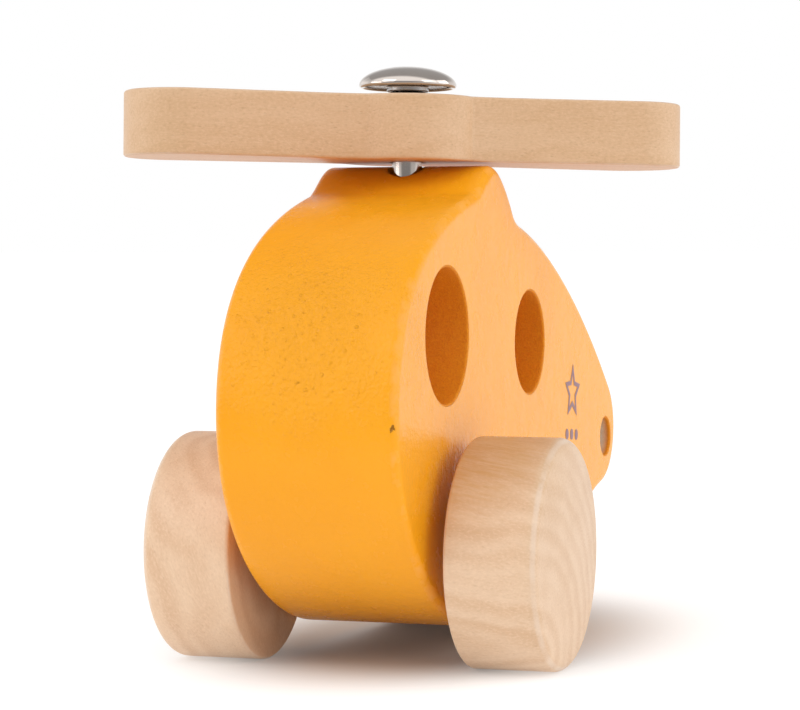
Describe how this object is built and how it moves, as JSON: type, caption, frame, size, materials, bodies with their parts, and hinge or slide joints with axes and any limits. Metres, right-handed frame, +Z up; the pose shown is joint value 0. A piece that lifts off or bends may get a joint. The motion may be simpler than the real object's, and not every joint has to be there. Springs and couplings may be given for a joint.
{
  "type": "wooden toy helicopter",
  "caption": "Painted wooden slab helicopter with round through windows, a free-spinning wooden rotor under a domed metal cap, and plain wooden wheels on one axle.",
  "frame": {"origin": "on the table, under the middle of the standing toy's bounding box", "axes": "+X towards the nose, +Y to the toy's left along the wheel axle, +Z up from the table; the toy stands leaning back 4.7 degrees on its heel, and its rotor pin leans back 2.3 degrees from +Z"},
  "size_m": [0.1248, 0.0798, 0.0943],
  "materials": {
    "painted_wood": "orange-yellow satin lacquer over close-grained hardwood",
    "rotor_wood": "sanded bare maple or beech, grain along the blades",
    "wheel_wood": "sanded and waxed bare maple, growth rings on the faces",
    "dowel_wood": "plain birch dowel",
    "bright_steel": "polished nickel or chrome plate",
    "spring_steel": "stamped spring steel, plated",
    "nylon": "natural nylon"
  },
  "bodies": {
    "fuselage": {"body": "painted_wood", "rotor_pin": "bright_steel", "rotor_cap": "bright_steel", "cap_insert": "spring_steel"},
    "rotor": {"rotor": "rotor_wood"},
    "wheelset": {"axle": "dowel_wood", "wheel_left": "wheel_wood", "wheel_right": "wheel_wood", "axle_washer_left": "nylon", "axle_washer_right": "nylon"}
  },
  "joints": [
    {"name": "rotor_spin", "type": "hinge", "parent": "fuselage", "child": "rotor", "pos_m": [0.01411, 0, 0.08403], "axis": [-0.0404, 0, 0.9992], "continuous": true},
    {"name": "wheel_spin", "type": "hinge", "parent": "fuselage", "child": "wheelset", "pos_m": [0.03216, 0, 0.018], "axis": [0, 1, 0], "continuous": true}
  ]
}
